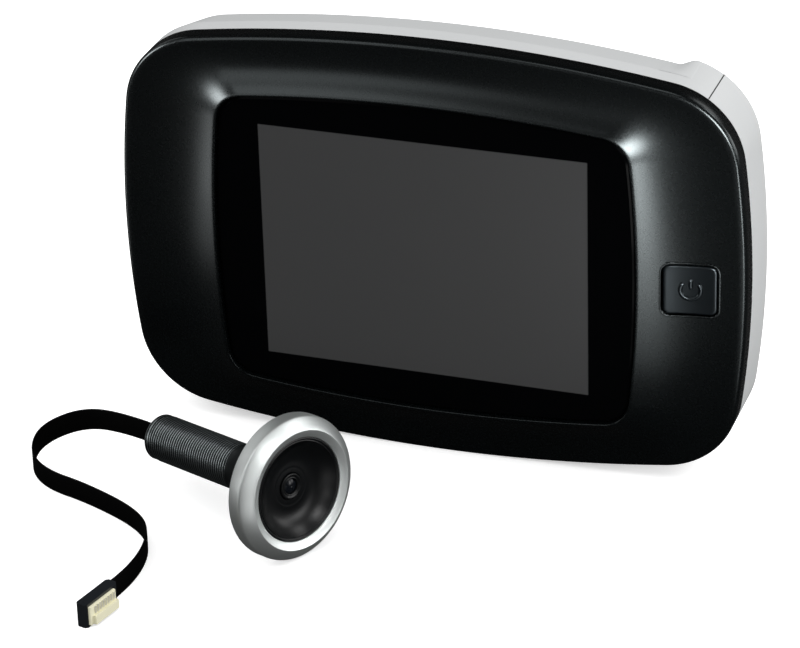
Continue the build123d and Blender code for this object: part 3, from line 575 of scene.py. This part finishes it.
# Raised power sign on the cap: an open ring and an upright bar
SIGN_X = 55.9
SIGN_Z = -0.3
SIGN_RADIUS = 2.05
HALF_OPENING = math.radians(44)
RING_STEPS = 40
BAR_FOOT = 0.2
BAR_LENGTH = 2.3
BAR_STEPS = 8
STROKE_HALF = 0.46
STROKE_RISE = 0.4
STROKE_ROOT = 0.07
STROKE_END = 0.55

# Section of a stroke: shares of its half width and of its rise
STROKE_SECTION = ((-1.0, 0.0), (-0.8, 0.75), (-0.35, 1.0), (0.35, 1.0), (0.8, 0.75), (1.0, 0.0))


def raised_stroke(name, line):
    """Rounded raised stroke along points (x, z) of the button's face, smaller at both ends."""
    points = []
    for i, (x, z) in enumerate(line):
        before = line[max(0, i - 1)]
        after = line[min(len(line) - 1, i + 1)]
        run = math.hypot(after[0] - before[0], after[1] - before[1])
        side_x = -(after[1] - before[1]) / run
        side_z = (after[0] - before[0]) / run
        taper = STROKE_END if i in (0, len(line) - 1) else 1.0
        for across, up in STROKE_SECTION:
            out = across * STROKE_HALF * taper
            drop = STROKE_ROOT - up * STROKE_RISE * taper
            points.append(on_skin(x + side_x * out, z + side_z * out, drop))
    faces = rings_to_faces(len(line), len(STROKE_SECTION), closed=False)
    add_piece(name, points, faces, "button_black", "button", smooth=80)


ring_start = math.pi * 0.5 + HALF_OPENING
ring_end = math.pi * 2.5 - HALF_OPENING
bar_line = [(SIGN_X, SIGN_Z + BAR_FOOT + BAR_LENGTH * i / BAR_STEPS) for i in range(BAR_STEPS + 1)]
raised_stroke(
    "power_sign_ring", arc_points((SIGN_X, SIGN_Z), SIGN_RADIUS, ring_start, ring_end, RING_STEPS)
)
raised_stroke("power_sign_bar", bar_line)

# Window panel with a ground edge: inset of its rings from the crest's outline, and their depth
WINDOW_FACE = -2.9
WINDOW_CORNER = 0.8
WINDOW_RINGS = (
    (0.36, LEDGE_DEPTH), (0.36, -2.55), (0.45, -2.68), (0.95, -2.88), (1.1, WINDOW_FACE),
    (12.0, WINDOW_FACE),
)
window_steps = [(drawn_in(CREST, inset, WINDOW_CORNER), depth) for inset, depth in WINDOW_RINGS]
window_points, window_faces = display_mesh(window_steps, cap_ends=True)
window_panel = add_piece(
    "window_panel", window_points, window_faces, "window_black", "display_unit", smooth=12
)
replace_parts(window_panel, "display_window")

# Swell on top of the housing, which leads its drawn-in back smoothly out to the straight end
SWELL_START = 47.6
STRAIGHT_X = 53.0
SWELL_FROM = SWELL_START - 1
SWELL_TO = STRAIGHT_X + 0.4
SWELL_COLUMNS = 28
SWELL_ROWS = 8
SWELL_PROUD = 0.03
SWELL_SUNK = -0.05
SWELL_TAIL = 4.5
INSIDE_BACK = 0.02
EDGE_STEPS = 8


def top_edge(x, inset=0.0):
    """Height of the rim's outline over x in its right half, with its top moved in by an inset."""
    outline = bowed_outline(RIM[0], RIM[1] - inset, *RIM[2:], counts=(200, 26, 60))
    for before, after in zip(outline, outline[1:]):
        if after[0] >= x:
            return mix(before[1], after[1], (x - before[0]) / (after[0] - before[0]))


def swell_rows():
    """Depth and drop of the swell's rows, from the ridge over the back edge and down the back."""
    edge_depth = HOUSING_DEPTH - BACK_ROUND
    rows = [(mix(RIDGE_DEPTH, edge_depth, i / SWELL_ROWS), 0.0) for i in range(SWELL_ROWS + 1)]
    for drop, short in rounded_edge(BACK_ROUND, EDGE_STEPS)[1:]:
        rows.append((HOUSING_DEPTH - INSIDE_BACK - short, drop))
    rows.append((HOUSING_DEPTH - INSIDE_BACK, BACK_ROUND + SWELL_TAIL))
    return rows


def housing_swell():
    """Swell from the drawn-in outline to the straight one, sunk into the housing at its end."""
    columns = [mix(SWELL_FROM, SWELL_TO, i / SWELL_COLUMNS) for i in range(SWELL_COLUMNS + 1)]
    straight_tops = [top_edge(x) for x in columns]
    inset_tops = [top_edge(x, BACK_INSET) for x in columns]
    rows = swell_rows()
    points = []
    for depth, drop in rows:
        taper = (depth - RIDGE_DEPTH) / (HOUSING_DEPTH - RIDGE_DEPTH)
        for i, x in enumerate(columns):
            share = ease((x - SWELL_START) / (STRAIGHT_X - SWELL_START))
            housing_top = mix(straight_tops[i], inset_tops[i], taper)
            top = mix(housing_top, straight_tops[i], share)
            cover = SWELL_PROUD if i < SWELL_COLUMNS else SWELL_SUNK
            points.append(on_display(x, depth, top - drop + cover))
    faces = rings_to_faces(len(rows), len(columns), closed=False)
    add_piece("housing_swell", points, faces, "housing_grey", "display_unit", smooth=40)


housing_swell()

# Dark strip of painted shade along the gap between the housing and the battery cover
SEAM_X = 57.825
SEAM_START = 0.15

# Corners of the line's section: shift along x, and how far in from the housing's surface
SEAM_SECTION = ((-0.1, -0.01), (0.1, -0.01), (0.06, 1.2), (-0.06, 1.2), (-0.1, -0.01))


def seam_shade_strip():
    """Strip of painted shade over the top, down the back and under the bottom of the housing."""
    points = []
    for x_shift, inset in SEAM_SECTION:
        top = top_edge(SEAM_X + x_shift) - inset
        back = HOUSING_DEPTH - max(0.01, inset)
        loop = [(BEZEL_DEPTH + SEAM_START, top)]
        for drop, short in rounded_edge(BACK_ROUND, EDGE_STEPS):
            loop.append((back - short, top - drop))
        loop += [(depth, -z) for depth, z in reversed(loop)]
        points += [on_display(SEAM_X + x_shift, depth, z) for depth, z in loop]
    faces = rings_to_faces(len(SEAM_SECTION), len(points) // len(SEAM_SECTION), closed=False)
    add_piece("seam_shade_strip", points, faces, "bush_black", "display_unit")


seam_shade_strip()

# Camera ring with softened edges and a slightly crowned bevel: radius and distance
RING_R = 15.0
RING_BORE = 10.85
RING_SEAT = 4.98
RING_FLOOR = -4.2
RING_BACK = -5.0
RING_PROFILE = (
    (RING_BORE, RING_FLOOR), (RING_BORE, -0.62), (10.88, -0.52), (10.97, -0.44), (12.34, 0.2),
    (12.46, 0.23), (12.58, 0.19), (13.3, -0.28), (14.1, -0.93), (14.72, -1.5), (14.9, -1.72),
    (14.98, -1.98), (RING_R, -2.2), (RING_R, -4.55), (14.93, -4.82), (14.76, -4.95),
    (14.6, RING_BACK), (RING_SEAT, RING_BACK), (RING_SEAT, RING_FLOOR), (RING_BORE, RING_FLOOR),
)
ring = turned_piece("camera_ring", RING_PROFILE, "ring_metal", smooth=32, sides=160)
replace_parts(ring, "ring_bezel")

# Dish round the lens: a fine step at the rim, a bowl and low rings round the lens
DISH_R = 10.75
DISH_BORE = 2.8
DISH_BACK = -4.1
BOWL_RIM = (10.05, -0.72)
BOWL_FOOT = (4.3, -3.2)
BOWL_DEEPEST = -4.0
BOWL_SAG = 3.8
BOWL_LEAN = 0.15
BOWL_STEPS = 14
DISH_RIM = [(DISH_R, DISH_BACK), (DISH_R, -0.62), (10.55, -0.55), (10.2, -0.78), BOWL_RIM]
DISH_MIDDLE = [
    (4.1, -3.2), (3.9, -3.24), (3.7, -3.2), (2.95, -3.2), (2.85, -3.3), (DISH_BORE, -3.35),
    (DISH_BORE, DISH_BACK), (DISH_R, DISH_BACK),
]


def bowl_profile():
    """Radius and distance down the hollow bowl, after its rim."""
    profile = []
    for i in range(1, BOWL_STEPS + 1):
        share = i / BOWL_STEPS
        radius = mix(BOWL_RIM[0], BOWL_FOOT[0], share)
        sag = BOWL_SAG * share * (1 - share) * (1 - BOWL_LEAN * share)
        distance = mix(BOWL_RIM[1], BOWL_FOOT[1], share) - sag
        profile.append((radius, max(distance, BOWL_DEEPEST)))
    return profile


dish_profile = DISH_RIM + bowl_profile() + DISH_MIDDLE
dish = turned_piece("camera_dish", dish_profile, "dish_black", smooth=25, sides=128)
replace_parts(dish, "lens_dish")

# Ring round the lens: radius and distance
LENS_RING_PROFILE = (
    (1.6, RING_FLOOR), (1.6, -3.25), (1.68, -3.05), (1.82, -3.0), (1.95, -3.05), (2.1, -3.02),
    (2.3, -2.88), (2.5, -2.86), (2.66, -2.93), (2.7, -3.05), (2.7, RING_FLOOR), (1.6, RING_FLOOR),
)
lens_ring = turned_piece(
    "camera_lens_ring", LENS_RING_PROFILE, "dish_black", smooth=30, sides=96
)
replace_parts(lens_ring, "lens_ring")

# Neck of the barrel, which grows towards the ring and reaches a little into the thread
NECK_STEPS = 20
NECK_END = THREAD_START - 0.6
NECK_CLEARANCE = 0.03

# Tail of the barrel, with its chamfer: radius and distance
TAIL_R = BARREL_R - 0.06
TAIL_PROFILE = (
    (BARREL_R - THREAD_DEPTH, THREAD_END + 1.3), (TAIL_R, 1.2 - TUBE_LENGTH),
    (TAIL_R, 0.9 - TUBE_LENGTH), (4.6, 0.6 - TUBE_LENGTH), (3.92, 0.02 - TUBE_LENGTH),
    (BARREL_BORE, -TUBE_LENGTH),
)


def neck_profile():
    """Radius and distance round the neck's wall, up its bore and back over its growth."""
    profile = [
        (BARREL_BORE, NECK_END), (BARREL_BORE, RING_FLOOR), (BARREL_R, RING_FLOOR),
        (BARREL_R, NECK_FRONT),
    ]
    for i in range(NECK_STEPS + 1):
        share = 1 - i / NECK_STEPS
        radius = BARREL_R + NECK_GROWTH * share**NECK_POWER
        profile.append((radius, mix(THREAD_START, NECK_FRONT, share)))
    return profile + [(BARREL_R - NECK_CLEARANCE, NECK_END), (BARREL_BORE, NECK_END)]


def thread_mesh():
    """Points and faces of the thread.

    Its rows climb one pitch per turn and are held back at both ends.
    """
    rows = int((THREAD_START - THREAD_END) / PITCH) * THREAD_STEPS
    points = []
    for row in range(rows + 1):
        groove = THREAD_DEPTH / 2 * (1 - math.cos(2 * math.pi * row / THREAD_STEPS))
        for i in range(BARREL_SIDES):
            distance = THREAD_START - (row / THREAD_STEPS - i / BARREL_SIDES) * PITCH
            radius = BARREL_R - groove
            if row == rows:
                radius = BARREL_R - THREAD_DEPTH
            elif distance >= THREAD_START:
                radius = BARREL_R
            turn = 2 * math.pi * i / BARREL_SIDES
            points.append(on_tube(radius, turn, min(distance, THREAD_START)))
    faces = rings_to_faces(rows + 1, BARREL_SIDES, closed=False)
    for row in range(rows):
        at = (row + 1) * BARREL_SIDES - 1
        over = max(0, row - THREAD_STEPS) * BARREL_SIDES
        over_next = max(0, row + 1 - THREAD_STEPS) * BARREL_SIDES
        if over == over_next:
            faces.append((at, over, at + BARREL_SIDES))
        else:
            faces.append((at, over, over_next, at + BARREL_SIDES))
    return points, faces


def barrel_thread():
    """Threaded barrel with its tail."""
    points, faces = thread_mesh()
    first = len(points)
    points += turned_points(TAIL_PROFILE, BARREL_SIDES)
    for face in rings_to_faces(len(TAIL_PROFILE), BARREL_SIDES):
        faces.append(tuple(first + index for index in face))
    thread = add_piece("barrel_thread", points, faces, "barrel_black", "camera_unit", smooth=80)
    thread.data.materials[0] = thread_material()
    return thread


turned_piece("barrel_neck", neck_profile(), "barrel_black", smooth=40, sides=BARREL_SIDES)
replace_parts(barrel_thread(), "barrel_tube")

# Ribbon cable along its route, a thin band standing on edge
RIBBON_WIDTH = 4.8
RIBBON_THICK = 0.4
LEAD_LENGTH = 10.5
tail = TUBE_FRONT - TUBE_AXIS * TUBE_LENGTH
lead = tail - TUBE_AXIS * LEAD_LENGTH
ROUTE = [
    tuple(tail), tuple(lead), (-70.1, 0.5, 8.2), (-78.3, -3.8, 5.2), (-78.2, -10.9, 3.1),
    (-72.2, -17.1, 2.6), (-60.7, -20.4, 2.6), (-46.5, -27.4, 2.6), (-41.1, -35.3, 2.6),
    (-39.9, -47.4, 2.6), (-41.6, -54.4, 2.6),
]


def ribbon_band():
    """Band with rounded edges along the route."""
    band = bpy.data.curves.new("ribbon_band", "CURVE")
    band.dimensions = "3D"
    band.twist_mode = "Z_UP"
    spline = band.splines.new("NURBS")
    spline.points.add(len(ROUTE) - 1)
    for point, place in zip(spline.points, ROUTE):
        point.co = (*[value * MM for value in place], 1)
    spline.order_u = 3
    spline.use_endpoint_u = True
    spline.resolution_u = 16
    band.extrude = (RIBBON_WIDTH - RIBBON_THICK) / 2 * MM
    band.bevel_depth = RIBBON_THICK / 2 * MM
    band.bevel_resolution = 3
    band.materials.append(MATERIALS["ribbon_black"])
    obj = bpy.data.objects.new("ribbon_band", band)
    bpy.context.scene.collection.objects.link(obj)
    return obj


ribbon = ribbon_band()
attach(ribbon, "camera_unit")
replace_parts(ribbon, "ribbon_cable")

# Camera, solved from the photograph: place in millimetres, turn about x, y and z in degrees, and
# focal length in pixels of the photograph
CAMERA_PLACE = (228.482, -635.002, 393.482)
CAMERA_TURN = (62.3791, 1.56411, 18.87537)
FOCAL_PIXELS = 3782.57
PHOTO_WIDTH = 800
SENSOR_WIDTH = 36.0

camera_data = bpy.data.cameras.new("photo_camera")
camera_data.sensor_width = SENSOR_WIDTH
camera_data.lens = FOCAL_PIXELS / PHOTO_WIDTH * SENSOR_WIDTH
camera_data.clip_start = 0.05
camera_data.clip_end = 50
camera = bpy.data.objects.new("photo_camera", camera_data)
bpy.context.scene.collection.objects.link(camera)
camera_turn = Euler([math.radians(angle) for angle in CAMERA_TURN]).to_matrix().to_4x4()
camera.matrix_world = Matrix.Translation(Vector(CAMERA_PLACE) * MM) @ camera_turn
bpy.context.scene.camera = camera

# Floor, a square that reaches so many metres to each side
FLOOR_REACH = 6.0


def floor_material():
    """Pale and faintly shaded to the camera, quiet for everything it lights or mirrors in."""
    mat, tree, _ = new_material("studio_floor")
    glow = add_node(tree, "Emission", {"Color": WHITE, "Strength": 0.45})
    pale = add_node(tree, "AddShader", {0: matt_grey(tree, 0.96), 1: glow.outputs["Emission"]})
    bounce = by_ray(tree, "Glossy", matt_grey(tree, 0.12), matt_grey(tree, 0.03))
    surface = by_ray(tree, "Camera", bounce, pale.outputs["Shader"])
    feed(tree, tree.nodes["Material Output"], {"Surface": surface})
    return mat


def studio_floor(reach):
    """Plain square floor at the height of zero."""
    mesh = bpy.data.meshes.new("studio_floor")
    corners = [(-reach, -reach, 0), (reach, -reach, 0), (reach, reach, 0), (-reach, reach, 0)]
    mesh.from_pydata(corners, [], [(0, 1, 2, 3)])
    mesh.materials.append(floor_material())
    obj = bpy.data.objects.new("studio_floor", mesh)
    bpy.context.scene.collection.objects.link(obj)
    return obj


studio_floor(FLOOR_REACH)


# Lights

def direction(bearing, height):
    """Direction at a bearing to the right of straight in front and a height angle, in degrees."""
    across = math.radians(bearing)
    rise = math.radians(height)
    return Vector((
        math.sin(across) * math.cos(rise), -math.cos(across) * math.cos(rise), math.sin(rise),
    ))


def area_light(name, place, target, size, power, spread=180):
    """Round light aimed at a target and hidden from the camera, with its lengths in metres."""
    data = bpy.data.lights.new(name, "AREA")
    data.shape = "DISK"
    data.size = size
    data.energy = power
    data.spread = math.radians(spread)
    lamp = bpy.data.objects.new(name, data)
    bpy.context.scene.collection.objects.link(lamp)
    lamp.location = place
    lamp.rotation_euler = (place - target).to_track_quat("Z", "Y").to_euler()
    lamp.visible_camera = False
    return lamp


# Soft lights round the object, all at one distance: name, bearing, height angle, size in metres
# and power
LIGHT_DISTANCE = 1.2
LIGHT_TARGET = Vector((0, 0, 0.04))
SOFT_LIGHTS = [
    ("key_right", 30, 14, 0.3, 0.8),
    ("right_side", 90, 8, 0.5, 3.0),
    ("right_back", 120, 8, 0.5, 3.0),
    ("right_back_high", 115, 40, 0.4, 2.5),
    ("back_high", 150, 28, 0.5, 1.0),
    ("left_back_high", 240, 32, 0.5, 0.5),
    ("left_high", 270, 28, 0.5, 0.6),
    ("left_low", 300, 8, 0.5, 1.0),
    ("left_front_high", 315, 50, 0.5, 1.3),
    ("left_front", 330, 28, 0.5, 1.0),
    ("overhead", 0, 75, 0.5, 1.3),
]
for name, bearing, height, size, power in SOFT_LIGHTS:
    place = LIGHT_TARGET + direction(bearing, height) * LIGHT_DISTANCE
    area_light(name, place, LIGHT_TARGET, size, power)

# Low bounce cards on both sides, beyond the picture, each aimed at the flare on its own side:
# name, x, y, size in millimetres and power
CARD_Z = 3
CARD_SPREAD = 50
FLARE_X = 54
FLARE_Z = 50
CARDS = [
    ("card_right_near", 78, -20, 45, 0.0010),
    ("card_right_inner", 90, -45, 45, 0.0010),
    ("card_right", 115, -80, 50, 0.0035),
    ("card_right_outer", 150, -125, 60, 0.012),
    ("card_left_near", -125, -5, 45, 0.0004),
    ("card_left", -165, -18, 50, 0.0009),
    ("card_left_outer", -220, -40, 60, 0.0010),
]
for name, x, y, size, power in CARDS:
    target = Vector((math.copysign(FLARE_X, x), RIM_Y, FLARE_Z)) * MM
    area_light(name, Vector((x, y, CARD_Z)) * MM, target, size * MM, power, CARD_SPREAD)

# Small cards close to the flare's upper corners, seen in reflections only: name, x and z of the
# corner, bearing, height angle, size in millimetres and power
CORNER_DISTANCE = 0.15
CORNER_SPREAD = 40
CORNER_DEPTH = -3
CORNER_CARDS = [
    ("card_corner_right", 46, 80, 31, 10, 80, 0.038),
    ("card_corner_left", -47, 82, 300, 8, 60, 0.008),
]
for name, x, z, bearing, height, size, power in CORNER_CARDS:
    target = Vector((x, RIM_Y + CORNER_DEPTH, z)) * MM
    place = target + direction(bearing, height) * CORNER_DISTANCE
    card = area_light(name, place, target, size * MM, power, CORNER_SPREAD)
    card.visible_diffuse = False

# Cards seen in reflections only, one low for the left of the camera ring's bevel and one high for
# its dish: name, place, size in millimetres, spread and power
RING_CARDS = [
    ("card_ring_low", (10, -65, 3), 36, 50, 0.0004),
    ("card_ring_high", (66, -76, 93), 34, 40, 0.0022),
]
for name, place, size, spread, power in RING_CARDS:
    card = area_light(name, Vector(place) * MM, TUBE_FRONT * MM, size * MM, power, spread)
    card.visible_diffuse = False


# Surroundings

def studio_world():
    """World that is white to the camera, nearly black in reflections and a soft fill elsewhere."""
    world = bpy.data.worlds.new("studio")
    world.use_nodes = True
    tree = world.node_tree
    fill = tree.nodes["Background"]
    feed(tree, fill, {"Color": WHITE, "Strength": 0.95})
    dim = add_node(tree, "Background", {"Color": WHITE, "Strength": 0.02})
    seen = add_node(tree, "Background", {"Color": WHITE, "Strength": 1.0})
    unseen = by_ray(tree, "Glossy", fill.outputs["Background"], dim.outputs["Background"])
    surface = by_ray(tree, "Camera", unseen, seen.outputs["Background"])
    feed(tree, tree.nodes["World Output"], {"Surface": surface})
    return world


bpy.context.scene.world = studio_world()
bpy.context.scene.view_settings.view_transform = "Standard"
